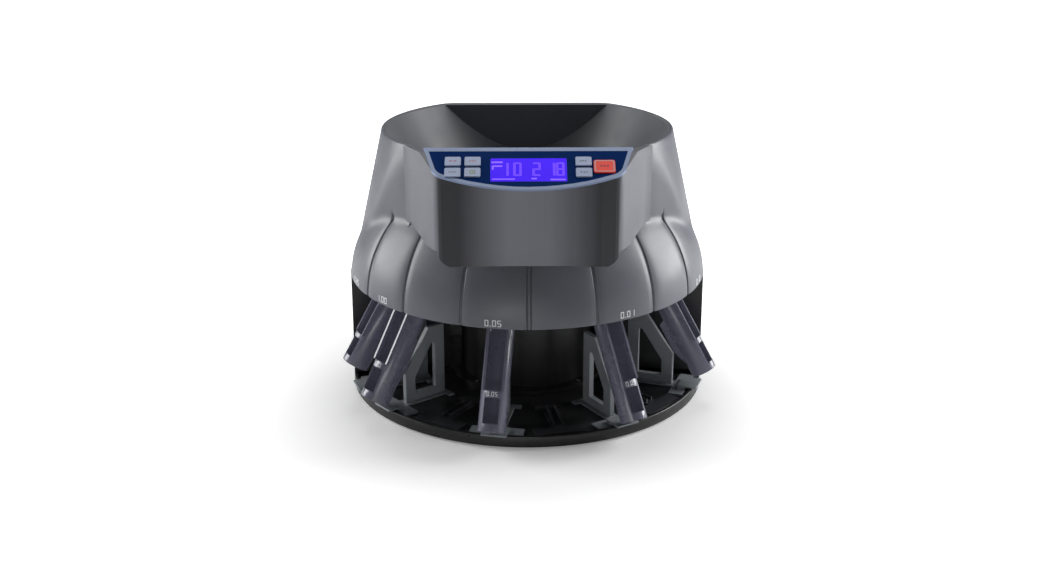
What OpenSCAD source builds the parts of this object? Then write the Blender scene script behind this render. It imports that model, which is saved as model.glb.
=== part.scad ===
// Coin sorting machine, in millimetres.
// A motor turns a disc at the bottom of an open hopper. The disc carries coins round a plate
// with graded holes, and each kind of coin drops down its chute into its own slanted tube.
// +Z is up, the front faces -Y, and z = 0 is the surface that the rubber feet stand on.
// Stations are angles round the rotor's axis: 0 is the front, positive is towards +X.

/* [Base] */
// Radius of the round base
base_r = 175; // [170:1:180]
// Height of the base's rim
base_top = 13; // [12:0.5:14]
// Top of the base's floor
floor_z = 10; // [9:0.5:10.5]
// Distance from the rotor's axis to the flat back
back_y = 155; // [150:1:160]

/* [Housing] */
// Lower edge of the fluted skirt
skirt_z = 117.6; // [116:0.2:120]
// Radius of the sloping sides at the skirt's lower edge
skirt_r = 172; // [170:1:173]
// Radius of the sloping sides at the rim
rim_r = 140; // [138:1:144]
// Height of the rim over the rotor's axis
rim_z = 260; // [256:1:262]
// Fall of the rim towards the back, per millimetre
rim_fall = 0.04; // [0.02:0.01:0.05]
// Radius of the petals' curved outline
petal_r = 100; // [96:1:102]

/* [Control panel] */
// Distance of the panel's front edge from the rotor's axis
nose_y = 158.5; // [156:0.5:160]
// Height of the panel's front edge
panel_z = 243; // [241:0.5:244]
// Slope of the panel
panel_tilt = 25; // [24:0.5:26]
// Travel of a key
key_travel = 0.8; // [0.5:0.1:1]

/* [Coin tubes] */
// Lean of the tubes from upright
tube_lean = 30; // [29:0.5:31]
// Radius at which a tube's axis starts
tube_top_r = 139; // [138:0.5:140]
// Height at which a tube's axis starts
tube_top_z = 107; // [106:0.5:108]
// Wall of a tube
tube_wall = 1.6; // [1.4:0.1:2]

/* [Drive] */
// Gear module
gear_module = 1; // [1:0.25:1]
// Teeth on the large gear
gear_teeth = 60; // [60:1:60]
// Teeth on the pinion
pinion_teeth = 12; // [12:1:12]
// Radius of the main shaft
shaft_r = 5; // [4:0.5:6]

/* [Hidden] */

$fn = 96;
far = 400;            // a length past the whole object, for cutting
touch = 0.05;         // gap between fixed pieces that lie against each other
run_gap = 0.03;       // radial gap of a running fit
axis_y = 20;          // the rotor's axis stands behind the middle of the footprint

wall = 3;             // moulded wall of the housing
cone_top_z = 275;     // the sloping sides are drawn past the rim and cut
cone_slope = (skirt_r - rim_r) / (rim_z - skirt_z);
recess_r = 142;       // upright wall above the front petals
recess_end = 51;      // it ends here, and a flat facet runs on from it to the cone
facet_dir = 47;
petal_c = [74.5, 118];  // centre of the petals' outline, radius and height
petal_top = 192.5;
petal_half = 80;      // the petals run this far to each side
back_top_y = 115;     // the flat back leans in to here at the rim
front_y = 107;        // the hopper's straight front edge

stations = [-70, -51, -31, -10.5, 10.5, 31, 51, 70];
grooves = [-80, -60.2, -41.3, -20.7, 20.7, 41.3, 60.2, 80];
tube_stations = [-70, -51, -10.5, 31, 70];
free_stations = [-31, 10.5, 51];
tube_radii = [13.5, 14.2, 12.8, 12.6, 12.4];
tube_lengths = [80, 95, 98, 98, 89];

// ---- placing ----
module at_axis() translate([0, axis_y, 0]) children();
// Local +X points outward from the rotor's axis at an angle
module at_station(angle) rotate([0, 0, angle - 90]) children();
// Local X along the panel, Y up its slope, Z out of it; the origin is its front edge
module on_panel(x = 0, s = 0, depth = 0)
    translate([0, -nose_y, panel_z]) rotate([panel_tilt, 0, 0])
        translate([x, s, depth]) children();
// A radial side outline, drawn as radius and height, given a thickness
module upright(thick) rotate([90, 0, 0]) linear_extrude(thick, center = true) children();

function arc_points(c, r, a0, a1, n) =
    [for (i = [0:n]) c + r * [cos(a0 + (a1 - a0) * i / n), sin(a0 + (a1 - a0) * i / n)]];
function flip_x(p) = [for (i = [len(p) - 1:-1:0]) [-p[i][0], p[i][1]]];
function rim_at(y) = rim_z - rim_fall * y;

module box_round(w, d, h, r) linear_extrude(h) slab_round(w, d, r);
module slab_round(w, d, r) {
    square([w - 2 * r, d], center = true);
    square([w, d - 2 * r], center = true);
    for (x = [-1, 1], y = [-1, 1])
        translate([x * (w / 2 - r), y * (d / 2 - r)]) circle(r, $fn = 32);
}

// ---- outlines of the housing ----
// Everything under the rim's leaning plane, lowered by drop
module under_plane(drop)
    rotate([90, 0, 90]) linear_extrude(2 * far, center = true) polygon([
        [-far, -1], [far, -1], [far, rim_at(far) - drop], [-far, rim_at(-far) - drop]]);

// Everything ahead of the flat back, which leans in above the skirt's lower edge
module ahead_of_back(inset)
    rotate([90, 0, 90]) linear_extrude(2 * far, center = true) polygon([
        [-far, -1], [back_y - inset, -1], [back_y - inset, skirt_z],
        [back_top_y - inset, rim_at(back_top_y)],
        [back_top_y - inset - 6, rim_at(back_top_y) + 20], [-far, rim_at(back_top_y) + 20]]);

module cone_solid(inset) translate([0, 0, skirt_z - 1])
    cylinder(h = cone_top_z - skirt_z + 1, r1 = skirt_r + cone_slope - inset,
             r2 = skirt_r - cone_slope * (cone_top_z - skirt_z) - inset);

// What the cone loses in front: it is cut back to an upright wall and two flat facets
function facet(t, inset) = recess_r * [sin(recess_end), -cos(recess_end)]
    + t * [cos(facet_dir), sin(facet_dir)] - inset * [sin(facet_dir), -cos(facet_dir)];
module front_cut(inset) difference() {
    side = [facet(0, inset), facet(150, inset), [far, -far]];
    translate([0, 0, skirt_z - 2]) linear_extrude(far)
        polygon(concat([[0, 0]], side, flip_x(side)));
    cylinder(h = far, r = recess_r - inset);
}

module petal_solid(r) intersection() {
    rotate_extrude() intersection() {
        translate(petal_c) circle(r);
        translate([0, skirt_z - 1]) square([far, petal_top - skirt_z + 1]);
    }
    linear_extrude(far) polygon(concat([[0, 0]],
        [for (i = [-4:4]) far * [sin(petal_half * i / 4), -cos(petal_half * i / 4)]]));
}

module body_solid(inset) difference() {
    intersection() {
        cone_solid(inset);
        ahead_of_back(inset);
    }
    front_cut(inset);
}
module housing_solid(inset) {
    body_solid(inset);
    petal_solid(petal_r - inset);
}

// Plan of the control box: a shallow front curve, round corners and flared sides.
// The panel's bezel has the same front, and sides that flare less.
nose_front_r = 200;
nose_corner_r = 16;
nose_corner_angle = 22.8;
nose_flare = 28;
bezel_flare = 16;
nose_side = 51.5;          // as far as the housing's wall
function nose_half(inset, flare) = let (
        c0 = [0, nose_front_r - nose_y],
        c1 = c0 + (nose_front_r - nose_corner_r) * [sin(nose_corner_angle),
                                                   -cos(nose_corner_angle)],
        r1 = nose_corner_r - inset,
        end = c1 + r1 * [cos(flare), -sin(flare)])
    concat(arc_points(c0, nose_front_r - inset, -90, nose_corner_angle - 90, 6),
           arc_points(c1, r1, nose_corner_angle - 80, -flare, 6),
           [end + (nose_side + abs(inset)) * [sin(flare), cos(flare)]]);
module nose_plan(inset, flare = nose_flare)
    polygon(concat(flip_x(nose_half(inset, flare)), nose_half(inset, flare)));
// The hollow where a flared side runs into the housing's facet is filled with a round
valley_r = 45;
valley_at = [109.6, -90.2];
module valley_plan() {
    step = valley_r * tan((90 - nose_flare - facet_dir) / 2);
    c = valley_at - step * [sin(nose_flare), cos(nose_flare)]
        + valley_r * [cos(nose_flare), -sin(nose_flare)];
    half = concat(arc_points(c, valley_r, 180 - nose_flare, 90 + facet_dir, 4),
                  [valley_at - [8, 0]]);
    polygon(half);
    polygon(flip_x(half));
}
// A prism of that plan ahead of the hopper's edge
module nose_prism(inset, flare, edge) intersection() {
    linear_extrude(far) nose_plan(inset, flare);
    ahead_of(edge);
}

// ---- base and lower housing ----
screw_r = 2;
drum_r = 66;
drum_screw_r = 71;
boss_spots = [[128, 70], [-128, 70], [88, 128], [-88, 128]];

module disc_with_flat(r, flat, z0, z1) intersection() {
    translate([0, 0, z0]) cylinder(h = z1 - z0, r = r, $fn = 180);
    translate([-far, -far, z0 - 1]) cube([2 * far, far + flat, z1 - z0 + 2]);
}

module base_plate() at_axis() color([0.07, 0.07, 0.08]) difference() {
    disc_with_flat(base_r, back_y, 2, base_top);
    disc_with_flat(base_r - 4, back_y - 4, 0, floor_z - 3);
    disc_with_flat(base_r - 3.5, back_y - 3.5, floor_z, base_top + 1);
    for (a = [45:90:315]) rotate([0, 0, a]) translate([drum_screw_r, 0, 0])
        cylinder(h = 20, r = screw_r, $fn = 32);
    for (p = boss_spots) translate([p[0], p[1], 0]) cylinder(h = 20, r = screw_r, $fn = 32);
}

foot_spots = [[112, -112], [-112, -112], [105, 118], [-105, 118]];
module rubber_feet() at_axis() color([0.12, 0.12, 0.12])
    for (p = foot_spots) translate([p[0], p[1], 0])
        cylinder(h = floor_z - 3, r1 = 9, r2 = 10, $fn = 48);

// The region behind the tube bay, moved back by inset
bay_angle = 82;
module behind_bay(inset) linear_extrude(far) polygon([
    [0, inset], far * [sin(bay_angle), -cos(bay_angle)] + [0, inset], [far, far],
    [-far, far], far * [-sin(bay_angle), -cos(bay_angle)] + [0, inset]]);

inlet_pos = [-57, 48];     // X and Z on the back wall
rocker_pos = [-28, 48];
jack_pos = [55, 42];
module on_back(p) translate([p[0], back_y - 0.3, p[1]]) children();

// The middle of the flat back is a panel of its own, held by a flange inside each edge
back_half = 78;
module back_shell() difference() {
    intersection() {
        disc_with_flat(base_r - 0.5, back_y - 0.3, base_top + touch, skirt_z - touch);
        behind_bay(0);
    }
    intersection() {
        disc_with_flat(base_r - 3.4, back_y - 3.2, 0, far);
        behind_bay(wall);
    }
}
module back_zone(grow) translate([-back_half - grow, back_y - 10, 0])
    cube([2 * (back_half + grow), 20, far]);

module rear_housing() at_axis() color([0.09, 0.09, 0.1]) {
    difference() {
        back_shell();
        cylinder(h = far, r = drum_r + 12);
        back_zone(touch);
    }
    for (p = boss_spots) translate([p[0], p[1], floor_z + touch]) difference() {
        cylinder(h = 30, r = 5, $fn = 48);
        translate([0, 0, -1]) cylinder(h = 16, r = screw_r, $fn = 32);
    }
}

module back_panel() at_axis() color([0.09, 0.09, 0.1]) {
    difference() {
        intersection() {
            back_shell();
            back_zone(0);
        }
        on_back(inlet_pos) cube([27.1, 20, 20.1], center = true);
        on_back(rocker_pos) cube([19.1, 20, 25.1], center = true);
        on_back(jack_pos) cube([15.1, 20, 13.1], center = true);
        for (i = [0:9]) translate([-27 + 6 * i, back_y, 88]) cube([2.5, 20, 26], center = true);
    }
    for (side = [-1, 1]) {
        translate([side * (back_half - 2) - 4, back_y - 5.3, 20]) cube([8, 2, 90]);
        translate([side * (back_half - 2.5) - 1.5, back_y - 4, 20]) cube([3, 2, 90]);
    }
}

drum_top = 178;
bearing_r = 13;
bearing_h = 8;
bracket_z = 122;
drum_in = drum_r - 3;
module core_drum() at_axis() color([0.1, 0.1, 0.11]) difference() {
    union() {
        translate([0, 0, floor_z + touch]) cylinder(h = drum_top - floor_z - touch, r = drum_r);
        translate([0, 0, floor_z + touch]) cylinder(h = 4, r = drum_r + 10);
    }
    translate([0, 0, 0]) cylinder(h = bracket_z - 4, r = drum_in);
    cylinder(h = bracket_z + 1, r = drum_in - 5);
    translate([0, 0, bracket_z]) cylinder(h = drum_top - bearing_h - bracket_z, r = drum_in);
    cylinder(h = far, r = bearing_r);
    for (a = [45:90:315]) rotate([0, 0, a]) {
        translate([drum_screw_r, 0, 0]) cylinder(h = 20, r = screw_r, $fn = 32);
        translate([50, 0, drum_top - 5]) cylinder(h = 10, r = screw_r, $fn = 32);
    }
}

// ---- upper housing ----
module groove(angle, width, bite) rotate([0, 0, angle]) intersection() {
    rotate_extrude() difference() {
        translate([0, skirt_z - 2]) square([far / 2, petal_top - skirt_z + 2.5]);
        translate(petal_c) circle(petal_r - bite);
        square([100, far]);
    }
    translate([-width / 2, -far, 0]) cube([width, far, far]);
}

window_z = 197;
module upper_housing() at_axis() color([0.5, 0.51, 0.54]) difference() {
    intersection() {
        housing_solid(0);
        under_plane(0);
        translate([-far, -far, skirt_z]) cube(2 * far);
    }
    housing_solid(wall);
    translate([0, 0, window_z]) linear_extrude(far) nose_plan(-touch);
    for (a = grooves) groove(a, 2.6, 2);
    for (x = [-1.6, 1.6]) translate([x, 0, 0]) groove(0, 1.2, 2);
}

// ---- control box ----
lip_t = 1.5;               // the bezel's rim; its plug goes deeper
plate_t = 3.3;             // overlay and bezel plate together
rebate_wall = 1.8;         // the box's wall beside the keys
module control_box() at_axis() color([0.33, 0.34, 0.37]) difference() {
    intersection() {
        union() {
            translate([0, 0, 150]) linear_extrude(far) nose_plan(0);
            difference() {
                translate([0, 0, 150]) linear_extrude(far) valley_plan();
                body_solid(-touch);
            }
        }
        under_plane(0);
    }
    difference() {
        linear_extrude(far) nose_plan(wall);
        above_panel(-plate_t, front_y);
    }
    petal_solid(petal_r + touch);
    cylinder(h = window_z + touch, r = recess_r + touch);
    above_panel(0, front_y - touch);
    intersection() {
        nose_prism(-touch, bezel_flare, front_y - touch);
        above_panel(-lip_t - touch, front_y - touch);
    }
    nose_prism(wall, bezel_flare, front_y - touch);
    intersection() {
        nose_prism(rebate_wall, bezel_flare, front_y - touch);
        above_panel(-8, front_y - touch);
    }
}

// Everything under the panel's face, down by depth
module under_panel(depth) on_panel(0, 0, -far - depth)
    translate([-far, -far, 0]) cube([2 * far, 2 * far, far]);
module ahead_of(y) translate([-far, -far, 0]) cube([2 * far, far - y, far]);
// What is ahead of the hopper's edge and higher than the panel's face, raised by height
module above_panel(height, edge) difference() {
    ahead_of(edge);
    under_panel(-height);
}

left_keys = [[-67.2, 37.2], [-49.6, 37.2], [-67.2, 22.4], [-49.6, 22.4]];
right_keys = [[48.8, 37], [48.8, 22]];
panel_bosses = [for (x = [-39, 38.7], s = [10, 47]) [x, s]];
small_keys = concat(left_keys, right_keys);
start_pos = [67.2, 30];
small_size = [14.2, 11.4];
start_size = [19, 16.5];
all_keys = concat(small_keys, [start_pos]);
screen_pos = [0, 26.5];
screen_size = [67.5, 31];
overlay_inset = 3.4;
overlay_t = 0.8;
key_gap = 0.25;
board_depth = 10.4;        // from the panel's face to the board's top
switch_h = 2.5;

module key_windows(gap) {
    for (k = small_keys) translate([k[0], k[1], -6])
        box_round(small_size[0] + 2 * gap, small_size[1] + 2 * gap, 12, 1.6);
    translate([start_pos[0], start_pos[1], -6])
        box_round(start_size[0] + 2 * gap, start_size[1] + 2 * gap, 12, 2.4);
}

module panel_bezel() at_axis() color([0.55, 0.6, 0.68]) difference() {
    union() {
        difference() {
            nose_prism(0, bezel_flare, front_y);
            above_panel(0, 0);
            under_panel(lip_t);
        }
        difference() {
            nose_prism(wall + touch, bezel_flare, front_y);
            above_panel(0, 0);
            under_panel(plate_t);
        }
        for (p = panel_bosses) on_panel(p[0], p[1], -board_depth)
            cylinder(h = 8, r = 2.5, $fn = 32);
    }
    difference() {
        nose_prism(overlay_inset, bezel_flare, front_y + 4.5);
        under_panel(overlay_t);
    }
    on_panel() key_windows(key_gap);
    on_panel(screen_pos[0], screen_pos[1], -6)
        box_round(screen_size[0] + 5, screen_size[1] + 3, 12, 1);
    for (p = panel_bosses) on_panel(p[0], p[1], -11) cylinder(h = 6, r = 1, $fn = 24);
}

module panel_overlay() at_axis() color([0.02, 0.14, 0.33]) difference() {
    nose_prism(overlay_inset + 0.1, bezel_flare, front_y + 4.6);
    above_panel(0, 0);
    under_panel(overlay_t);
    on_panel() key_windows(key_gap);
    on_panel(screen_pos[0], screen_pos[1], -6)
        box_round(screen_size[0] + 0.2, screen_size[1] + 0.2, 12, 1);
}

module display_window() at_axis() color([0.3, 0.2, 1, 0.5])
    on_panel(screen_pos[0], screen_pos[1], -overlay_t) box_round(screen_size[0], screen_size[1], 0.7, 0.9);

module display_module() at_axis() color([0.25, 0.15, 0.9]) {
    on_panel(screen_pos[0], screen_pos[1], -3.5) box_round(screen_size[0] + 4, screen_size[1] + 2, 2.6, 0.8);
    on_panel(screen_pos[0], screen_pos[1], -9.5) box_round(screen_size[0] + 6, screen_size[1] - 5, 6, 0.8);
}

board_t = 1.6;
module display_board() at_axis() color([0.05, 0.35, 0.16]) difference() {
    union() {
        on_panel(0, 0, -board_depth - board_t - touch) linear_extrude(board_t)
            polygon([[-77, 49.5], [76, 49.5], [76, 20], [54, 7.5], [-54, 7.5], [-77, 20]]);
        for (k = all_keys) on_panel(k[0], k[1], -board_depth - 0.15)
            translate([-3, -3, 0]) cube([6, 6, switch_h]);
    }
    for (p = panel_bosses) on_panel(p[0], p[1], -15) cylinder(h = 6, r = 1, $fn = 24);
}

module panel_screws() at_axis() color("silver")
    for (p = panel_bosses) on_panel(p[0], p[1], -board_depth - board_t - touch) {
        cylinder(h = 6, r = 1, $fn = 24);
        translate([0, 0, -1.5]) cylinder(h = 1.5, r = 2.2, $fn = 32);
    }

module key_cap(size, corner) {
    translate([0, 0, -plate_t - 0.1]) box_round(size[0], size[1], plate_t + 1.3, corner);
    translate([0, 0, -plate_t - 1.3]) box_round(size[0] + 0.8, size[1] + 0.6, 1.2, corner + 1);
    translate([0, 0, -board_depth + switch_h + key_travel - 0.05])
        cylinder(h = board_depth - switch_h - key_travel - plate_t, r = 1.6, $fn = 32);
}
module small_key(i) at_axis() color([0.72, 0.78, 0.84])
    on_panel(small_keys[i][0], small_keys[i][1]) key_cap(small_size, 1.5);
module key_1() small_key(0);
module key_2() small_key(1);
module key_3() small_key(2);
module key_4() small_key(3);
module key_5() small_key(4);
module key_6() small_key(5);
module start_key() at_axis() color([0.85, 0.2, 0.15])
    on_panel(start_pos[0], start_pos[1]) key_cap(start_size, 2.3);

// ---- hopper ----
bowl_r = 100;
bowl_floor = 189;
bowl_knee = 204;
bowl_wall = 2.5;
bowl_back = 103;
module bowl_solid(grow) intersection() {
    union() {
        translate([0, 0, bowl_floor - 1]) cylinder(h = far, r = bowl_r + grow);
        translate([0, 0, bowl_knee]) cylinder(h = rim_z + 8 - bowl_knee, r1 = bowl_r + grow,
                                              r2 = rim_r + grow);
    }
    translate([-far, -front_y + 3 - grow, 0])
        cube([2 * far, front_y - 3 + bowl_back + 2 * grow, far]);
}
flange_t = 2.5;
// The room that the housing and the control box leave for the hopper
module hopper_room() intersection() {
    union() {
        body_solid(wall + touch);
        intersection() {
            linear_extrude(far) nose_plan(wall + touch);
            ahead_of(91);
        }
    }
    under_plane(0);
    translate([-far, -front_y + touch, 0]) cube(2 * far);
}
module hopper_bowl() at_axis() color([0.42, 0.43, 0.46]) difference() {
    intersection() {
        hopper_room();
        union() {
            bowl_solid(bowl_wall);
            difference() {
                translate([-far, -far, 0]) cube(2 * far);
                under_plane(flange_t);
            }
        }
    }
    bowl_solid(0);
    translate([0, 0, bowl_floor - 2]) cylinder(h = 2, r = far / 2);
}

// ---- sorting deck ----
deck_z = drum_top;
deck_t = 3;
deck_r = 131.5;
hole_ring_r = 115;
hole_radii = [8.4, 9.4, 9.9, 10.7, 11.2, 11.7, 12.2, 12.9];
module at_holes() for (i = [0:7]) at_station(stations[i]) translate([hole_ring_r, 0, 0])
    let ($hole_r = hole_radii[i]) children();

module sorting_plate() at_axis() color([0.75, 0.76, 0.78]) difference() {
    translate([0, 0, deck_z + touch]) cylinder(h = deck_t, r = deck_r);
    cylinder(h = far, r = bearing_r - 3);
    at_holes() cylinder(h = far, r = $hole_r, $fn = 64);
    for (a = [45:90:315]) rotate([0, 0, a]) translate([50, 0, deck_z - 1]) {
        cylinder(h = 10, r = screw_r, $fn = 32);
        translate([0, 0, 2.5]) cylinder(h = 10, r = 4, $fn = 32);
    }
}

module plate_screws() at_axis() color("silver")
    for (a = [45:90:315]) rotate([0, 0, a]) translate([50, 0, deck_z - 4]) {
        cylinder(h = 6, r = screw_r, $fn = 32);
        translate([0, 0, 5.5]) cylinder(h = 1.4, r = 3.9, $fn = 32);
    }

disc_z = deck_z + deck_t + 0.5;
disc_t = 4;
module sorting_rail() at_axis() color([0.8, 0.8, 0.82]) difference() {
    translate([0, 0, deck_z + deck_t + touch]) cylinder(h = 6, r = deck_r);
    cylinder(h = far, r = deck_r - 3.5);
    rotate([0, 0, 150]) translate([0, -10, 0]) cube([far, 20, far]);
}

chute_bottom = 118;
module coin_chutes() at_axis() color([0.16, 0.16, 0.18])
    for (a = stations) at_station(a) {
        difference() {
            upright(33) polygon([[100, deck_z], [131, deck_z], [150, chute_bottom],
                                 [119, chute_bottom]]);
            upright(30) polygon([[101.5, deck_z + 1], [129.5, deck_z + 1],
                                 [148.8, chute_bottom - 1], [120.8, chute_bottom - 1]]);
            translate([100, -4.5, 158]) cube([60, 9, 4]);
        }
    }

module coin_sensors() at_axis() color([0.1, 0.25, 0.5])
    for (a = stations) at_station(a) translate([0, 0, 160 - 3]) {
        translate([136.6 + 1.2, -4, 0]) cube([2.5, 8, 6]);
        translate([102.2, -4, 0]) cube([2.5, 8, 6]);
    }

// ---- drive ----
pitch_gear = gear_module * gear_teeth / 2;
pitch_pinion = gear_module * pinion_teeth / 2;
centre_gap = pitch_gear + pitch_pinion;
pressure = 20;
backlash = 0.12;           // degrees of arc, at the large gear's pitch circle

function roll(r, base) = sqrt(max(0, (r / base) * (r / base) - 1)) * 180 / PI;
function inv_at(r, base) = roll(r, base) - acos(min(1, base / r));
// One tooth's flank points, from root to tip, for a gear with n teeth
function tooth_half(n, slack) = let (
        rp = gear_module * n / 2, base = rp * cos(pressure),
        tip = rp + gear_module, root = rp - 1.25 * gear_module,
        half = 90 / n - slack + inv_at(rp, base))
    concat([[root, half - inv_at(max(root, base), base) + 0.15 * 90 / n]],
           [for (i = [0:4]) let (r = max(root, base) + (tip - max(root, base)) * i / 4)
               [r, half - inv_at(r, base)]]);
module gear_outline(n, slack) {
    side = tooth_half(n, slack);
    polygon([for (t = [0:n - 1]) each concat(
        [for (p = side) p[0] * [cos(360 * t / n - p[1]), sin(360 * t / n - p[1])]],
        [for (i = [len(side) - 1:-1:0])
            side[i][0] * [cos(360 * t / n + side[i][1]), sin(360 * t / n + side[i][1])]])]);
}

gear_z = 140;
motor_angle = 150;         // a whole number of the large gear's teeth, so the teeth mesh
module at_motor() rotate([0, 0, motor_angle]) translate([centre_gap, 0, 0]) children();

module motor_bracket() at_axis() color([0.6, 0.6, 0.62]) difference() {
    translate([0, 0, bracket_z + touch]) cylinder(h = bearing_h, r = drum_in - touch);
    cylinder(h = far, r = bearing_r);
    at_motor() cylinder(h = far, r = 7, $fn = 48);
    rotate([0, 0, -30]) translate([38, 0, 0]) cylinder(h = far, r = 16);
}

module gear_motor() at_axis() at_motor() {
    color([0.7, 0.7, 0.72]) difference() {
        union() {
            translate([0, 0, bracket_z - 24]) cylinder(h = 24, r = 18.5);
            cylinder_at(bracket_z - 1, 6, 6);
        }
        cylinder_at(bracket_z - 12, 30, 3 + run_gap);
    }
    color([0.3, 0.3, 0.32]) cylinder_at(bracket_z - 24 - 32, 32, 15);
}
module cylinder_at(z, h, r) translate([0, 0, z]) cylinder(h = h, r = r);

module ring_at(z, h, r, hole) difference() {
    cylinder_at(z, h, r);
    cylinder_at(z - 1, h + 2, hole);
}
module lower_bearing() at_axis() color("silver")
    ring_at(bracket_z + touch, bearing_h, bearing_r, shaft_r + run_gap);
module upper_bearing() at_axis() color("silver")
    ring_at(drum_top - bearing_h, bearing_h, bearing_r, shaft_r + run_gap);

shaft_top = 199;
module main_shaft() at_axis() color("silver") cylinder_at(bracket_z - 4, shaft_top - bracket_z + 4,
                                                          shaft_r);
module shaft_collar() at_axis() color("silver")
    ring_at(bracket_z + bearing_h + 1, 5, 9, shaft_r);
module drive_gear() at_axis() color([0.85, 0.83, 0.75]) difference() {
    union() {
        cylinder_at(gear_z, 14, 10);
        translate([0, 0, gear_z]) linear_extrude(8) gear_outline(gear_teeth, backlash);
    }
    cylinder_at(gear_z - 1, 20, shaft_r);
    for (a = [0:60:300]) rotate([0, 0, a]) translate([18, 0, gear_z - 1])
        cylinder(h = 12, r = 5, $fn = 48);
}
module motor_shaft() at_axis() at_motor() color("silver") cylinder_at(bracket_z - 10, 39, 3);
module motor_pinion() at_axis() at_motor() color([0.85, 0.7, 0.35]) difference() {
    translate([0, 0, gear_z - 1]) linear_extrude(10)
        rotate([0, 0, 180 / pinion_teeth])
            gear_outline(pinion_teeth, gear_teeth / pinion_teeth * backlash);
    cylinder_at(gear_z - 2, 12, 3);
}

pocket_count = 12;
module sorter_disc() at_axis() color([0.2, 0.2, 0.22]) difference() {
    cylinder_at(disc_z, disc_t, 127);
    cylinder_at(disc_z - 1, disc_t + 2, shaft_r);
    for (i = [0:pocket_count - 1]) rotate([0, 0, 360 * i / pocket_count])
        translate([hole_ring_r - 3, 0, disc_z - 1]) cylinder(h = disc_t + 2, r = 14.2, $fn = 64);
}
feed_r = 96;
feed_z = disc_z + disc_t;
module feed_disc() at_axis() color([0.55, 0.56, 0.58]) difference() {
    union() {
        cylinder_at(feed_z, 2.5, feed_r);
        for (i = [0:5]) rotate([0, 0, 60 * i + 12]) translate([28, -2.5, feed_z])
            cube([60, 5, 5]);
    }
    cylinder_at(feed_z - 1, 8, shaft_r);
}
module hub_cap() at_axis() color([0.25, 0.25, 0.27]) difference() {
    translate([0, 0, feed_z + 2.5]) rotate_extrude() intersection() {
        translate([0, -18]) circle(32);
        square([26, 14]);
    }
    cylinder_at(feed_z, shaft_top - feed_z, shaft_r);
}

// ---- electronics in the rear ----
module main_board() at_axis() {
    color([0.05, 0.35, 0.16]) translate([-6, 138, 18]) cube([100, 1.6, 66]);
    color([0.1, 0.1, 0.1]) {
        translate([18, 135, 30]) cube([22, 3, 22]);
        translate([52, 134, 56]) cube([14, 4, 14]);
        translate([60, 128, 30]) cube([12, 10, 20]);
        translate([8, 132, 66]) cube([34, 6, 8]);
    }
}
module power_supply() at_axis() color([0.65, 0.66, 0.68]) difference() {
    translate([-108, 80, floor_z + touch]) cube([92, 41, 30]);
    translate([-106.5, 81.5, floor_z + 1.6]) cube([89, 38, far]);
}
module power_inlet() at_axis() color([0.05, 0.05, 0.05]) on_back(inlet_pos) difference() {
    union() {
        translate([0, -8, 0]) cube([27, 16, 20], center = true);
        translate([0, 0.7, 0]) cube([31, 1.4, 24], center = true);
    }
    translate([0, 0, 0]) cube([22, 26, 15], center = true);
}
module switch_frame() at_axis() color([0.05, 0.05, 0.05]) on_back(rocker_pos) difference() {
    union() {
        translate([0, -8, 0]) cube([19, 16, 25], center = true);
        translate([0, 0.7, 0]) cube([22, 1.4, 28], center = true);
    }
    translate([0, -3, 0]) cube([13.4, 20, 20.4], center = true);
}
rocker_r = 10;
module power_rocker() at_axis() color([0.5, 0.05, 0.05]) on_back(rocker_pos)
    translate([0, -5, 0]) rotate([-8, 0, 0]) intersection() {
        rotate([0, 90, 0]) cylinder(h = 13, r = rocker_r, center = true);
        rotate([90, 0, 90]) linear_extrude(13, center = true) polygon([
            [-6, -12], [-6, 12], [6.8, 12], [5.4, 0], [6.8, -12]]);
    }
module data_jack() at_axis() color([0.15, 0.15, 0.15]) on_back(jack_pos) difference() {
    translate([0, -6, 0]) cube([15, 14, 13], center = true);
    translate([0, 0, 0]) cube([11, 16, 8], center = true);
}

ribbon_z = 206;
ribbon_r = 136;
ribbon_w = 14;
ribbon_t = 0.9;
module strip(p, q, z, h) translate([p[0], p[1], z])
    rotate([0, 0, atan2(q[1] - p[1], q[0] - p[0])]) cube([norm(q - p), ribbon_t, h]);
// Flat cable: from the display board, round the hopper, down behind the deck to the main board
module display_ribbon() at_axis() color([0.6, 0.6, 0.62]) {
    start = [-66, -116];
    side = [-ribbon_r, ribbon_r] / sqrt(2);
    strip(start, [-ribbon_r, -ribbon_r] / sqrt(2), ribbon_z, ribbon_w);
    strip(start, start + [12, 0], ribbon_z, 246 - ribbon_z);
    difference() {
        cylinder_at(ribbon_z, ribbon_w, ribbon_r);
        cylinder_at(ribbon_z - 1, ribbon_w + 2, ribbon_r - ribbon_t);
        linear_extrude(far) polygon([[0, 0], [-far, -far], [far, -far], [far, far], [-far, far]]);
    }
    strip(side, side + [9, 9], 60, ribbon_z + ribbon_w - 60);
    strip(side + [8, 8], [-2, 137], 60, ribbon_w);
}

// ---- tube stations ----
foot_z = floor_z + touch;
module station_foot() {
    translate([104, -7, foot_z]) cube([60, 14, 2]);
    translate([154, -25, foot_z]) cube([14, 50, 2]);
    translate([102, -13, foot_z]) cube([7, 26, 2]);
}
module tube_stand(i) at_axis() color([0.4, 0.41, 0.43]) at_station(tube_stations[i]) {
    difference() {
        upright(5) polygon([[106, foot_z + 1], [106, 83], [124, 83], [152, 43],
                            [152, foot_z + 1]]);
        upright(8) polygon([[117, 20], [117, 66], [121, 66], [141, 36], [141, 20]]);
    }
    station_foot();
    translate([160, -12, foot_z + 1]) cube([8, 24, 4.5]);
    translate([160, -12, foot_z + 3.5]) cube([19, 24, 2]);
}
module stand_1() tube_stand(0);
module stand_2() tube_stand(1);
module stand_3() tube_stand(2);
module stand_4() tube_stand(3);
module stand_5() tube_stand(4);

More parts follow.
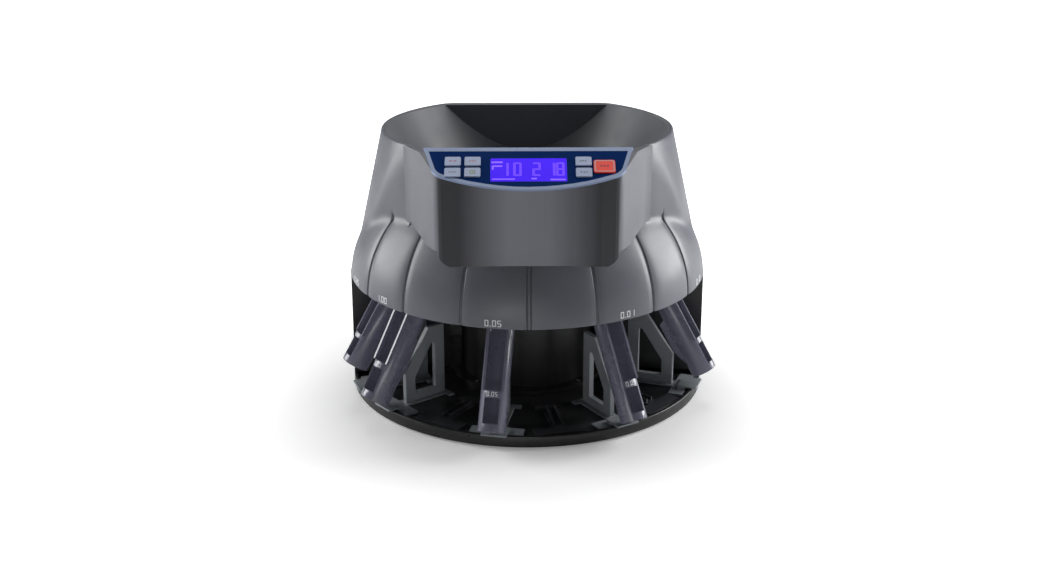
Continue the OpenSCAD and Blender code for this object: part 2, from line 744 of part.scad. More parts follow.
module free_socket(i) at_axis() color([0.25, 0.25, 0.27]) at_station(free_stations[i]) {
    station_foot();
    for (y = [-4.5, 3]) translate([112, y, foot_z + 1]) cube([38, 1.5, 4]);
}
module socket_1() free_socket(0);
module socket_2() free_socket(1);
module socket_3() free_socket(2);

// A tube: a leaning cup with an open front, a closed band and a window low down,
// and a fin behind that points at its stand
module coin_tube(i) {
    r = tube_radii[i];
    len = tube_lengths[i];
    at_axis() color([0.13, 0.13, 0.2]) at_station(tube_stations[i])
        translate([tube_top_r, 0, tube_top_z]) rotate([0, -tube_lean, 0]) {
            difference() {
                cylinder_at(-len, len, r);
                cylinder_at(2 - len, len, r - tube_wall);
                translate([0, -0.62 * r, -len * 0.62]) cube([2 * r, 1.24 * r, len]);
                translate([0, -0.55 * r, 7 - len]) cube([2 * r, 1.1 * r, len * 0.24]);
            }
            upright(4) polygon([[-r - 6, -30], [-r + 0.8, -26], [-r + 0.8, -len + 12],
                                [-r - 3, -len + 20], [-r - 6, -60]]);
            for (y = [-1, 1]) translate([r * 0.72, y * (0.62 * r + 0.9) - 1.1, -len * 0.62])
                cube([r * 0.16, 2.2, len * 0.6]);
        }
}
module coin_tube_1() coin_tube(0);
module coin_tube_2() coin_tube(1);
module coin_tube_3() coin_tube(2);
module coin_tube_4() coin_tube(3);
module coin_tube_5() coin_tube(4);

module base_screws() at_axis() color("silver") {
    for (a = [45:90:315]) rotate([0, 0, a]) translate([drum_screw_r, 0, 0]) screw_up(8);
    for (p = boss_spots) translate([p[0], p[1], 0]) screw_up(14);
}
module screw_up(reach) {
    cylinder_at(floor_z - 5.5, 2.5, 4);
    translate([0, 0, floor_z - 3]) cylinder(h = reach, r = screw_r, $fn = 32);
}

base_plate();
rubber_feet();
rear_housing();
back_panel();
core_drum();
upper_housing();
control_box();
panel_bezel();
panel_overlay();
display_window();
display_module();
display_board();
display_ribbon();
main_board();
power_supply();
power_inlet();
switch_frame();
data_jack();
hopper_bowl();
sorting_plate();
sorting_rail();
coin_chutes();
coin_sensors();
gear_motor();
motor_bracket();
lower_bearing();
upper_bearing();
stand_1();
stand_2();
stand_3();
stand_4();
stand_5();
socket_1();
socket_2();
socket_3();
base_screws();
plate_screws();
panel_screws();
main_shaft();
shaft_collar();
drive_gear();
sorter_disc();
feed_disc();
hub_cap();
motor_shaft();
motor_pinion();
key_1();
key_2();
key_3();
key_4();
key_5();
key_6();
start_key();
power_rocker();
coin_tube_1();
coin_tube_2();
coin_tube_3();
coin_tube_4();
coin_tube_5();
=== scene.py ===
"""Looks of the coin sorting machine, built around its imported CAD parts."""
import math

import bmesh
import bpy
from mathutils import Euler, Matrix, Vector


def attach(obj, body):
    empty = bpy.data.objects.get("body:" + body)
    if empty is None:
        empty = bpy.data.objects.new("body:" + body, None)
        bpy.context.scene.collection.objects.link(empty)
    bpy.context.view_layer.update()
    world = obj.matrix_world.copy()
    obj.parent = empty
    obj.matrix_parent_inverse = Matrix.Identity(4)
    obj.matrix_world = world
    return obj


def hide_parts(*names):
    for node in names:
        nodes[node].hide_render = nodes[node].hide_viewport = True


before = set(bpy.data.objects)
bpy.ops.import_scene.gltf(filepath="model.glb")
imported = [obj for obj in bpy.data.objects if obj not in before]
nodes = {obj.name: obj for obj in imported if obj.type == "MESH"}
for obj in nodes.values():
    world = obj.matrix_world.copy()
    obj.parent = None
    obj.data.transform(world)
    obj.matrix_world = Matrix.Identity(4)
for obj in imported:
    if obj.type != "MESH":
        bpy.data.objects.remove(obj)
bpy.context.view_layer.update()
scene = bpy.context.scene
MM = 0.001
AXIS_Y = 20 * MM      # the rotor's axis in the frame

# ---------------------------------------------------------------- materials


class Graph:
    """A small helper that adds shader nodes and links them."""

    def __init__(self, name):
        self.material = bpy.data.materials.new(name)
        self.material.use_nodes = True
        self.tree = self.material.node_tree
        self.tree.nodes.clear()

    def add(self, kind, inputs=None, **settings):
        node = self.tree.nodes.new(kind)
        for key, value in settings.items():
            setattr(node, key, value)
        for key, value in (inputs or {}).items():
            self.set(node.inputs[key], value)
        return node

    def set(self, socket, value):
        if isinstance(value, bpy.types.NodeSocket):
            self.tree.links.new(value, socket)
        else:
            socket.default_value = value

    def coords(self):
        return self.add("ShaderNodeTexCoord").outputs["Object"]

    def noise(self, scale, detail=2.0, rough=0.5, stretch=None):
        source = self.coords()
        if stretch:
            source = self.add("ShaderNodeMapping", {"Vector": source, "Scale": stretch}).outputs[0]
        return self.add("ShaderNodeTexNoise", {"Vector": source, "Scale": scale,
                        "Detail": detail, "Roughness": rough}).outputs["Fac"]

    def remap(self, value, lo, hi, out_lo=0.0, out_hi=1.0):
        return self.add("ShaderNodeMapRange", {"Value": value, "From Min": lo, "From Max": hi,
                        "To Min": out_lo, "To Max": out_hi}).outputs["Result"]

    def math(self, op, a, b=0.0):
        node = self.add("ShaderNodeMath", operation=op)
        self.set(node.inputs[0], a)
        self.set(node.inputs[1], b)
        return node.outputs[0]

    def mix(self, factor, a, b):
        node = self.add("ShaderNodeMix", data_type="RGBA")
        self.set(node.inputs["Factor"], factor)
        self.set(node.inputs[6], a)
        self.set(node.inputs[7], b)
        return node.outputs[2]

    def edges(self, radius):
        """1 on sharp edges, 0 on faces."""
        bevel = self.add("ShaderNodeBevel", {"Radius": radius}, samples=4).outputs[0]
        normal = self.add("ShaderNodeNewGeometry").outputs["Normal"]
        dot = self.add("ShaderNodeVectorMath", {0: bevel, 1: normal},
                       operation="DOT_PRODUCT").outputs["Value"]
        return self.remap(dot, 0.995, 0.80)

    def bump(self, height, strength, distance):
        return self.add("ShaderNodeBump", {"Height": height, "Strength": strength,
                        "Distance": distance}).outputs["Normal"]

    def surface(self, **inputs):
        shader = self.add("ShaderNodeBsdfPrincipled")
        for key, value in inputs.items():
            self.set(shader.inputs[key.replace("_", " ")], value)
        out = self.add("ShaderNodeOutputMaterial")
        self.tree.links.new(shader.outputs[0], out.inputs["Surface"])
        return self.material


def rgba(color, gain=1.0):
    return tuple(min(c * gain, 1.0) for c in color[:3]) + (1.0,)


MOTTLE = 0.07         # how much lighter and darker a plastic's clouds are
SPECK = 1.2           # how much lighter its specks are
RUBBED = (0.5, 0.5, 0.5, 1)


def plastic(name, color, rough=0.42, grain=0.12, wear=0.12, coat=0.0, specular=0.5,
            painted_light=None, glow=0.0):
    """Moulded plastic: fine grain, faint clouding and edges rubbed a little paler."""
    g = Graph(name)
    cloud = g.noise(14.0, 4.0, 0.6)
    speck = g.noise(420.0, 2.0, 0.5)
    base = g.mix(g.remap(cloud, 0.3, 0.7), rgba(color, 1 - MOTTLE), rgba(color, 1 + MOTTLE))
    base = g.mix(g.remap(speck, 0.55, 0.75, 0.0, 0.2), base, rgba(color, SPECK))
    # Paints light and shade onto the colour, where a material asks for it
    if painted_light:
        base = painted_light(g, base)
    if wear:
        scuff = g.math("MULTIPLY", g.edges(0.0006), g.remap(g.noise(60.0, 3.0), 0.35, 0.65))
        base = g.mix(g.math("MULTIPLY", scuff, wear), base, RUBBED)
    gloss = g.remap(g.noise(35.0, 3.0, 0.6), 0.3, 0.7, rough - 0.05, rough + 0.06)
    skin = g.bump(g.noise(1500.0, 1.0), grain, 0.0002)
    return g.surface(Base_Color=base, Roughness=gloss, Normal=skin, Coat_Weight=coat,
                     Specular_IOR_Level=specular, Emission_Color=base, Emission_Strength=glow)


METAL_ROUGH = 0.28


def metal(name, color):
    """Bare metal with fine drawn lines and slight tarnish."""
    g = Graph(name)
    lines = g.noise(260.0, 3.0, 0.6, stretch=(1.0, 1.0, 30.0))
    cloud = g.noise(25.0, 3.0)
    base = g.mix(g.remap(cloud, 0.3, 0.7), rgba(color, 0.82), rgba(color, 1.08))
    gloss = g.remap(lines, 0.3, 0.7, METAL_ROUGH - 0.08, METAL_ROUGH + 0.12)
    return g.surface(Base_Color=base, Metallic=1.0, Roughness=gloss,
                     Normal=g.bump(lines, 0.08, 0.0001))


HOUSING = (0.150, 0.155, 0.182)
# Painted light on the control box's front: a painted highlight in its middle, painted shade at its
# ends
FRONT_PAINTED_HIGHLIGHT = (0.255, 0.260, 0.305)
FRONT_PAINTED_SHADE = (0.030, 0.032, 0.038)
FRONT_SHADE_SPAN = (0.018, 0.062)     # how far from the middle the painted highlight gives way to painted shade, in metres
FRONT_LIGHT_FACING = (0.72, 0.90)     # how squarely a face looks forward to get the painted highlight and shade


def front_painted_light(g, base):
    """Paints light on the control box's curved front: a painted highlight in its middle, fading to
    painted shade at its ends; its sides keep the plain colour.
    """
    facing = g.add("ShaderNodeSeparateXYZ", {0: g.add("ShaderNodeNewGeometry").outputs["Normal"]})
    forward = g.math("MULTIPLY", facing.outputs["Y"], -1.0)
    across = g.add("ShaderNodeSeparateXYZ", {0: g.coords()}).outputs["X"]
    ends = g.remap(g.math("ABSOLUTE", across), *FRONT_SHADE_SPAN)
    front = g.mix(ends, rgba(FRONT_PAINTED_HIGHLIGHT), rgba(FRONT_PAINTED_SHADE))
    return g.mix(g.remap(forward, *FRONT_LIGHT_FACING), base, front)


MATERIALS = {
    "base_black": plastic("base_black", (0.020, 0.0205, 0.0215), rough=0.32, wear=0.0),
    "housing_grey": plastic("housing_grey", HOUSING, rough=0.36),
    # front_slate: the housing's colour, with the painted highlight and painted shade on the
    # control box's front
    "front_slate": plastic("front_slate", HOUSING, rough=0.36, painted_light=front_painted_light),
    "bezel_blue_grey": plastic("bezel_blue_grey", (0.31, 0.40, 0.63), rough=0.42),
    "overlay_navy": plastic("overlay_navy", (0.001, 0.028, 0.150), rough=0.6, grain=0.05,
                            specular=0.02),
    "screen": plastic("screen", (0.050, 0.010, 0.75), rough=0.4, grain=0.0, specular=0.05,
                      glow=0.75),
    "lcd": plastic("lcd", (0.050, 0.010, 0.75), rough=0.4, grain=0.0, glow=0.75),
    "board_green": plastic("board_green", (0.02, 0.13, 0.05), rough=0.35),
    "ribbon_grey": plastic("ribbon_grey", (0.4, 0.4, 0.42), rough=0.45),
    "steel": metal("steel", (0.62, 0.63, 0.65)),
    "hopper_grey": plastic("hopper_grey", (0.130, 0.135, 0.150), rough=0.42),
    "disc_dark": plastic("disc_dark", (0.045, 0.045, 0.05), rough=0.35),
    "feed_grey": plastic("feed_grey", (0.18, 0.185, 0.20), rough=0.4),
    "rubber_black": plastic("rubber_black", (0.02, 0.02, 0.02), rough=0.75, grain=0.4),
    "stand_grey": plastic("stand_grey", (0.24, 0.262, 0.28), rough=0.42),
    "socket_dark": plastic("socket_dark", (0.035, 0.037, 0.042), rough=0.35),
    # The tubes' glow is painted light: it stands in for light coming through the smoky plastic and
    # lifts their shaded insides
    "tube_smoke": plastic("tube_smoke", (0.115, 0.115, 0.160), rough=0.26, grain=0.03,
                          specular=0.6, coat=0.3, glow=0.14, wear=0.0),
    "key_silver": plastic("key_silver", (0.47, 0.56, 0.80), rough=0.42, wear=0.05),
    # The start key's glow is painted light: it makes the key shine brighter, though it is no lamp
    "key_red": plastic("key_red", (0.92, 0.055, 0.03), rough=0.4, wear=0.05, specular=0.3,
                       glow=0.15),
    "gear_white": plastic("gear_white", (0.75, 0.72, 0.62), rough=0.4),
    "brass": metal("brass", (0.78, 0.56, 0.22)),
    "motor_metal": metal("motor_metal", (0.5, 0.5, 0.52)),
    "psu_metal": metal("psu_metal", (0.55, 0.56, 0.58)),
    "socket_black": plastic("socket_black", (0.015, 0.015, 0.015), rough=0.4),
    "rocker_black": plastic("rocker_black", (0.02, 0.02, 0.02), rough=0.25),
    "ink_white": plastic("ink_white", (0.78, 0.80, 0.82), rough=0.5, grain=0.03),
    "ink_rose": plastic("ink_rose", (0.50, 0.22, 0.32), rough=0.5, grain=0.03),
    "ink_olive": plastic("ink_olive", (0.30, 0.38, 0.14), rough=0.5, grain=0.03),
    "ink_grey": plastic("ink_grey", (0.20, 0.24, 0.30), rough=0.5, grain=0.03),
    "ink_pink": plastic("ink_pink", (0.85, 0.40, 0.38), rough=0.5, grain=0.03),
    "ink_maroon": plastic("ink_maroon", (0.42, 0.02, 0.03), rough=0.5, grain=0.03),
    "lcd_pale": plastic("lcd_pale", (0.14, 0.055, 0.85), rough=0.4, grain=0.0,
                        specular=0.05, glow=0.8),
    "lcd_light": plastic("lcd_light", (0.24, 0.12, 0.9), rough=0.4, grain=0.0,
                         specular=0.05, glow=0.8),
}
for node in nodes.values():
    for place in node.material_slots:
        place.material = MATERIALS[place.material.name.split(".")[0]]

# ---------------------------------------------------------------- mesh tools


def smooth_max(a, b, k):
    """The larger of two lengths, with a round of about k where they meet."""
    h = max(k - abs(a - b), 0.0) / k
    return max(a, b) + h * h * k / 4


def smooth_min(a, b, k):
    """The smaller of two lengths, with the same round."""
    return -smooth_max(-a, -b, k)


def step(x, lo, hi):
    """Smooth rise from 0 at lo to 1 at hi."""
    t = min(max((x - lo) / (hi - lo), 0.0), 1.0)
    return t * t * (3 - 2 * t)


def at_axis(radius, angle, z):
    """A point given round the rotor's axis, angle 0 in front, in mm and degrees."""
    a = math.radians(angle)
    return Vector((radius * math.sin(a) * MM, AXIS_Y - radius * math.cos(a) * MM, z * MM))


def on_panel(x, s, height=0.0):
    """A point on the sloping panel: x across, s up the slope, height out of it, in mm."""
    a = math.radians(PANEL_TILT)
    return Vector((x * MM, AXIS_Y + (-NOSE_Y + s * math.cos(a) - height * math.sin(a)) * MM,
                   (PANEL_Z + s * math.sin(a) + height * math.cos(a)) * MM))


def make_piece(name, points, faces, material, body, smooth=True):
    """Adds a mesh piece that rides on a body."""
    mesh = bpy.data.meshes.new(name)
    mesh.from_pydata([tuple(p) for p in points], [], faces)
    mesh.update()
    for polygon in mesh.polygons:
        polygon.use_smooth = smooth
    piece = bpy.data.objects.new(name, mesh)
    scene.collection.objects.link(piece)
    mesh.materials.append(MATERIALS[material])
    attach(piece, body)
    SLOT_OF.get(material, material)
    return piece


def block(points, faces, place, size, height):
    """Adds a low slab with chamfered edges through place(x, y, h); size is w, d, x, y."""
    w, d = size[0] / 2, size[1] / 2
    cut = min(w, d, height) * 0.35
    start = len(points)
    for inset, h in ((0, 0), (0, height - cut), (cut, height)):
        for sx, sy in ((-1, -1), (1, -1), (1, 1), (-1, 1)):
            points.append(place(size[2] + sx * (w - inset), size[3] + sy * (d - inset), h))
    for ring in (0, 4):
        for i in range(4):
            j = (i + 1) % 4
            faces.append([start + ring + i, start + ring + j, start + ring + 4 + j,
                          start + ring + 4 + i])
    faces.append([start + 8, start + 9, start + 10, start + 11])
    faces.append([start + 3, start + 2, start + 1, start])


SEGMENTS = {"0": "abcdef", "1": "bc", "2": "abged", "5": "afgcd", "8": "abcdefg", ".": "."}


def digits(text, place, height, stroke, rise, points, faces, center=(0.0, 0.0), narrow=0.52):
    """Plain stroke numbers laid through place(x, y, h)."""
    w = height * narrow
    advance = w + stroke * 2.0
    widths = [stroke * 2.2 if c == "." else advance for c in text]
    x = center[0] - sum(widths) / 2
    half = height / 2
    for c, wide in zip(text, widths):
        mid = x + (wide - stroke) / 2
        spots = {"a": (0, half, w, stroke), "d": (0, -half, w, stroke), "g": (0, 0, w, stroke),
                 "b": (w / 2, half / 2, stroke, half), "c": (w / 2, -half / 2, stroke, half),
                 "f": (-w / 2, half / 2, stroke, half), "e": (-w / 2, -half / 2, stroke, half),
                 ".": (0, -half, stroke * 1.1, stroke * 1.1)}
        for seg in SEGMENTS[c]:
            sx, sy, sw, sh = spots[seg]
            grow = 0 if seg == "." else stroke * 0.45
            size = (sw + (grow if sw > sh else 0), sh + (grow if sh > sw else 0),
                    mid + sx, center[1] + sy)
            block(points, faces, place, size, rise)
        x += wide


# ---------------------------------------------------------------- upper housing
# All lengths in mm, angles in degrees round the rotor's axis.
SKIRT_Z, SKIRT_R, CONE_SLOPE = 117.6, 172.0, 32 / 142.4
RIM_Z, RIM_FALL = 260.0, 0.04
RECESS_R, RECESS_END = 142.0, 51.0                # upright wall above the front petals
FACET_DIR, FACET_END = 47.0, 122.0                # flat beside the control box
PETAL_R, PETAL_X, PETAL_Z, PETAL_HALF = 100.0, 74.5, 118.0, 80.0
PETAL_TOP = 194.0
BACK_Y, BACK_TOP_Y, BACK_FROM = 155.0, 115.0, 91  # flat back
BACK_TOP_Z = RIM_Z - RIM_FALL * BACK_TOP_Y
GROOVES = [-80, -60.2, -41.3, -20.7, 20.7, 41.3, 60.2, 80]
WINDOW_Z, WINDOW_HALF = 197.5, 49.9               # opening behind the control box
NOSE_Y, PANEL_Z, PANEL_TILT = 158.5, 243.0, 25.0
WALL, INNER_GAP = 3.0, 0.4
WALL_ROUND, BACK_ROUND = 3.0, 5.0                 # rounds where the flats meet the cone
CROWN_ROUND, VALLEY_ROUND = 4.0, 0.8              # the same, where the petals meet it
VALLEY_ENDS, SETBACK_ENDS = (54, 62), (50, 57)    # angles where those in front fade out
SETBACK, SETBACK_RISE = 0.5, (184, 190)           # of the wall behind the control box
GROOVE_DEPTH, SIDE_GROOVE_DEPTH, SIDE_GROOVE_RISE = 3.2, 2.0, (158, 168)
GROOVE_WALL, GROOVE_FADE = (0.95, 1.55), (190.5, 193.5)
CROWN_DROP, CROWN_WIDTH = 0.8, 4.5                # petals sink towards their grooves
SEAM_X, SEAM_WALL, SEAM_DEPTH = 1.7, (0.35, 0.85), 1.8    # double seam in the middle
INNER_ROWS = (250, 232, 215, 205, 199, 195, 191.5, 188, 184, 180, 175, 168, 160, 150, 140, 128,
              SKIRT_Z + 0.3)
SLOT_OF = {"ink_white": "key_silver", "ink_rose": "key_red", "ink_olive": "key_silver",
           "ink_grey": "key_silver", "ink_pink": "key_red", "ink_maroon": "key_red",
           "lcd_pale": "lcd", "lcd_light": "lcd"}


def petal_radius(z):
    """Distance of the petals' crowns from the axis."""
    return PETAL_X + math.sqrt(max(PETAL_R ** 2 - (z - PETAL_Z) ** 2, 0.0))


def body_radius(angle, z):
    """Distance of the cone with its flats from the axis, without the petals."""
    a = abs(angle)
    radius = SKIRT_R - CONE_SLOPE * (z - SKIRT_Z)
    if a < RECESS_END:
        radius = smooth_min(radius, RECESS_R, WALL_ROUND)
    elif a < FACET_END:
        facet = RECESS_R * math.cos(math.radians(RECESS_END - FACET_DIR))
        facet /= math.cos(math.radians(a - FACET_DIR))
        radius = smooth_min(radius, facet, WALL_ROUND)
    if a > BACK_FROM:
        back = BACK_Y - (BACK_Y - BACK_TOP_Y) * (z - SKIRT_Z) / (BACK_TOP_Z - SKIRT_Z)
        radius = smooth_min(radius, back / -math.cos(math.radians(a)), BACK_ROUND)
    return radius


def housing_radius(angle, z):
    """Distance of the housing's outer face from the axis."""
    a = abs(angle)
    body = body_radius(angle, z)
    reach = 1 - step(a, PETAL_HALF, PETAL_HALF + 0.6)
    petal = petal_radius(z)
    valley = 1 - step(a, *VALLEY_ENDS)
    meeting = CROWN_ROUND - (CROWN_ROUND - VALLEY_ROUND) * valley
    radius = body + (smooth_max(body, petal, meeting) - body) * reach
    radius -= SETBACK * (1 - step(a, *SETBACK_ENDS)) * step(z, *SETBACK_RISE)
    if z > PETAL_TOP:
        return radius
    fade = 1 - step(z, *GROOVE_FADE)
    for g in GROOVES:
        d = abs(radius * math.sin(math.radians(angle - g)))
        if d < 16 and abs(angle - g) < 20:
            if abs(g) == PETAL_HALF:
                bite = SIDE_GROOVE_DEPTH * (1 - step(z, *SIDE_GROOVE_RISE))
            else:
                radius -= CROWN_DROP * math.exp(-(d / CROWN_WIDTH) ** 2) * fade
                bite = min(max(radius - petal + 2.0, 0.0), GROOVE_DEPTH)
            radius -= bite * (1 - step(d, *GROOVE_WALL)) * fade
    if a < 4:
        d = abs(abs(radius * math.sin(math.radians(angle))) - SEAM_X)
        radius -= SEAM_DEPTH * (1 - step(d, *SEAM_WALL)) * fade
    return radius


def rim_height(angle):
    """Height of the housing's rim, and of the window's sill behind the control box."""
    reach = SKIRT_R - CONE_SLOPE * (RIM_Z - SKIRT_Z)
    rim = max(RIM_Z + RIM_FALL * reach * math.cos(math.radians(angle)), BACK_TOP_Z)
    return WINDOW_Z + (rim - WINDOW_Z) * step(abs(angle), WINDOW_HALF - 0.4, WINDOW_HALF + 0.4)


def housing_columns():
    """Angles of the skin's columns of points: even ones, closer at every groove and edge."""
    angles = {round(a * 1.5, 3) for a in range(-120, 120)}
    for g in GROOVES:
        angles = {a for a in angles if abs(a - g) > 2.2}
        for o in (0.0, 0.5, 0.95, 1.25, 1.55, 2.2, 3.2, 4.6, 6.5):
            angles |= {g - math.degrees(o / SKIRT_R), g + math.degrees(o / SKIRT_R)}
    angles = {a for a in angles if abs(a) > 2.0}
    for o in (0, 0.5, 0.85, 1.1, 1.35, 1.7, 2.05, 2.3, 2.55, 3.0, 4.2, 6.0):
        angles |= {math.degrees(o / SKIRT_R), -math.degrees(o / SKIRT_R)}
    for side in (-1, 1):
        for o in (-0.4, -0.2, 0.0, 0.2, 0.4, 0.8, 1.1):
            angles.add(side * (WINDOW_HALF + o))
        for o in (0.15, 0.3, 0.45, 0.6):
            angles.add(side * (PETAL_HALF + o))
    ordered = sorted(angles)
    return [a for i, a in enumerate(ordered) if i == 0 or a - ordered[i - 1] > 0.05]


def build_housing():
    """A closed skin of columns: up the outer face, over the rim and down the inner face."""
    points, faces = [], []
    low_rows = [0.0, 0.25, 0.8, 2.0] + [4.0 + 3.2 * i for i in range(24)]
    last = SKIRT_Z + low_rows[-1]
    upper_count = 16
    columns = housing_columns()
    for angle in columns:
        top = rim_height(angle)
        rise = low_rows + [last + (top - 1.0 - last) * t / upper_count - SKIRT_Z
                           for t in range(1, upper_count + 1)]
        if top < last + 6:
            scale = (top - 1.0 - SKIRT_Z) / (last - SKIRT_Z + upper_count * 0.4)
            rise = [z * scale for z in low_rows] + [(low_rows[-1] + 0.4 * t) * scale
                                                    for t in range(1, upper_count + 1)]
        ring = [(housing_radius(angle, SKIRT_Z + dz), SKIRT_Z + dz) for dz in rise]
        ring[0] = (ring[0][0] - 0.8, SKIRT_Z)
        ring[1] = (ring[1][0] - 0.25, SKIRT_Z + 0.25)
        edge = housing_radius(angle, top - 0.3)
        ring += [(edge - 0.3, top - 0.3), (edge - 1.0, top), (edge - WALL, top)]
        for k, z in enumerate(INNER_ROWS):
            z = min(z, top - 0.8 - 0.2 * k)
            inner = max(body_radius(angle, z), petal_radius(z) if abs(angle) < PETAL_HALF else 0)
            ring.append((inner - WALL - INNER_GAP, z))
        ring.append((ring[-1][0] + 0.3, SKIRT_Z))
        points += [at_axis(r, angle, z) for r, z in ring]
        rows = len(ring)
    count = len(columns)
    for c in range(count):
        for r in range(rows):
            a, b = c * rows, ((c + 1) % count) * rows
            s = (r + 1) % rows
            faces.append([a + r, b + r, b + s, a + s])
    skin = make_piece("upper_housing_skin", points, faces, "housing_grey", "housing")
    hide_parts("upper_housing")


build_housing()

# ---------------------------------------------------------------- control box
BOX_LOW, BOX_EDGE = 166.5, 82.0          # the control box's lower edge, its front's half width
CORNER_WIDE, CORNER_HIGH = 16.0, 13.5    # round of its two lower front corners
CORNER_OUT = 96.0                        # as far out as its flanks go
CUTTER_DROP, CUTTER_Y = 4.0, (-0.25, 0.0)
WELD_GAP = 0.00001


def corner_cutter():
    """Prism along Y under the control box, whose upper side rounds off both lower corners."""
    profile = [(BOX_EDGE - CORNER_WIDE, BOX_LOW - CUTTER_DROP)]
    for i in range(10):
        t = math.radians(10 * i)
        profile.append((BOX_EDGE - CORNER_WIDE * (1 - math.sin(t)),
                        BOX_LOW + CORNER_HIGH * (1 - math.cos(t)) - 0.01))
    profile += [(CORNER_OUT, BOX_LOW + CORNER_HIGH - 0.01), (CORNER_OUT, BOX_LOW - CUTTER_DROP)]
    mesh = bmesh.new()
    for side in (1, -1):
        near, far = ([mesh.verts.new((side * x * MM, y, z * MM)) for x, z in profile]
                     for y in CUTTER_Y)
        mesh.faces.new(near)
        mesh.faces.new(list(reversed(far)))
        for k in range(len(profile)):
            n = (k + 1) % len(profile)
            mesh.faces.new((near[k], far[k], far[n], near[n]))
    bmesh.ops.recalc_face_normals(mesh, faces=mesh.faces)
    cutter_mesh = bpy.data.meshes.new("corner_cutter")
    mesh.to_mesh(cutter_mesh)
    mesh.free()
    cutter = bpy.data.objects.new("corner_cutter", cutter_mesh)
    scene.collection.objects.link(cutter)
    return cutter


def add_weld(holder):
    """Joins the points that coincide, so that edges can be rounded."""
    holder.modifiers.new("weld", "WELD").merge_threshold = WELD_GAP


def round_box_corners():
    """A copy of the control box with its lower front corners rounded stands for it."""
    cutter = corner_cutter()
    piece = bpy.data.objects.new("control_box_skin", nodes["control_box"].data.copy())
    scene.collection.objects.link(piece)
    add_weld(piece)
    cut = piece.modifiers.new("cut", "BOOLEAN")
    cut.object, cut.operation, cut.solver = cutter, "DIFFERENCE", "EXACT"
    bpy.context.view_layer.update()
    shape = bpy.data.meshes.new_from_object(
        piece.evaluated_get(bpy.context.evaluated_depsgraph_get()))
    piece.modifiers.clear()
    piece.data = shape
    bpy.data.objects.remove(cutter)
    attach(piece, "housing")
    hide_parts("control_box")
    return piece


# ---------------------------------------------------------------- softened edges


def soften(holder, width):
    """Rounds the hard edges of a piece or a carried-over node with modifiers."""
    add_weld(holder)
    bevel = holder.modifiers.new("round", "BEVEL")
    bevel.width = width
    bevel.segments = 3
    bevel.limit_method = "ANGLE"
    bevel.angle_limit = math.radians(38)
    bevel.harden_normals = True
    bevel.use_clamp_overlap = True


soften(round_box_corners(), 0.0012)
soften(nodes["base_plate"], 0.0008)
soften(nodes["panel_bezel"], 0.0004)
for i in range(1, 6):
    soften(nodes[f"stand_{i}"], 0.0007)
    soften(nodes[f"coin_tube_{i}"], 0.0004)
for i in range(1, 7):
    soften(nodes[f"key_{i}"], 0.0004)
soften(nodes["start_key"], 0.0006)

# ---------------------------------------------------------------- panel printing
SCREEN_X, SCREEN_S = 0.0, 26.5
SCREEN_W, SCREEN_D = 67.5, 31.0
KEY_SPOTS = [(-67.2, 37.2), (-49.6, 37.2), (-67.2, 22.4), (-49.6, 22.4), (48.8, 37.0),
             (48.8, 22.0)]
START_SPOT = (67.2, 30.0)
KEY_TOP = 1.2
INK, SUNK = 0.08, 0.02        # thickness of a print, and how deep it sits in its face
SCREEN_SUNK = 0.1


def printing(name, material, body, draw):
    """A thin piece that draw(points, faces) lays on a face."""
    points, faces = [], []
    draw(points, faces)
    return make_piece(name, points, faces, material, body, smooth=False)


def on_screen(x, y, h):
    return on_panel(SCREEN_X + x, SCREEN_S + y, -SCREEN_SUNK + h)


def on_key(x, y, h):
    return on_panel(x, y, KEY_TOP - SUNK + h)


def screen_bars(points, faces, bars):
    """Bars given as parts of the screen's width and depth: middle x, middle y, w, d."""
    for x, y, w, d in bars:
        size = (w * SCREEN_W, d * SCREEN_D, (x - 0.5) * SCREEN_W, (0.5 - y) * SCREEN_D)
        block(points, faces, on_screen, size, INK)


def draw_header(points, faces):
    screen_bars(points, faces, [
        (0.085, 0.17, 0.15, 0.07), (0.09, 0.34, 0.13, 0.06), (0.03, 0.42, 0.025, 0.14),
        (0.17, 0.90, 0.30, 0.05), (0.57, 0.88, 0.07, 0.06), (0.88, 0.92, 0.20, 0.06)])


def draw_counts(points, faces):
    for text, x in (("1", 0.20), ("0", 0.37), ("2", 0.62), ("1", 0.81), ("8", 0.93)):
        digits(text, on_screen, 16.0, 2.2, INK, points, faces, ((x - 0.5) * SCREEN_W, 0.8), 0.34)


printing("screen_header", "lcd_light", "housing", draw_header)
printing("screen_counts", "lcd_pale", "housing", draw_counts)

# Plain bars in place of each key's print: ink, and middle x, middle y, w, d of each bar
KEY_GLYPHS = {
    1: ("ink_rose", [(-1.9, 0.2, 2.6, 1.6), (1.9, 0.2, 2.6, 1.6)]),
    2: ("ink_rose", [(-2.1, 0.2, 1.6, 1.6), (0.2, 0.2, 1.6, 1.6), (2.3, 0.2, 1.2, 1.6)]),
    3: ("ink_grey", [(-2.4, 0, 1.6, 1.4), (0, 0, 1.6, 1.4), (2.4, 0, 1.6, 1.4)]),
    4: ("ink_olive", [(0, 1.8, 4.4, 0.9), (0, -1.8, 4.4, 0.9), (-2.2, 0, 0.9, 3.0),
                      (2.2, 0, 0.9, 3.0), (0.2, 0, 1.4, 1.0)]),
    5: ("ink_grey", [(-2.6, 0, 1.5, 1.8), (-0.4, 0, 1.5, 1.8), (1.8, 0, 1.5, 1.8)]),
    6: ("ink_grey", [(-2.4, 0, 2.0, 1.6), (0.3, 0, 1.6, 1.6), (2.6, 0, 1.2, 1.6)]),
}
START_GLYPH = [(-3.0, 0.2, 1.8, 2.4), (-0.2, 0.2, 1.8, 2.4), (2.8, 0.2, 2.0, 2.4)]


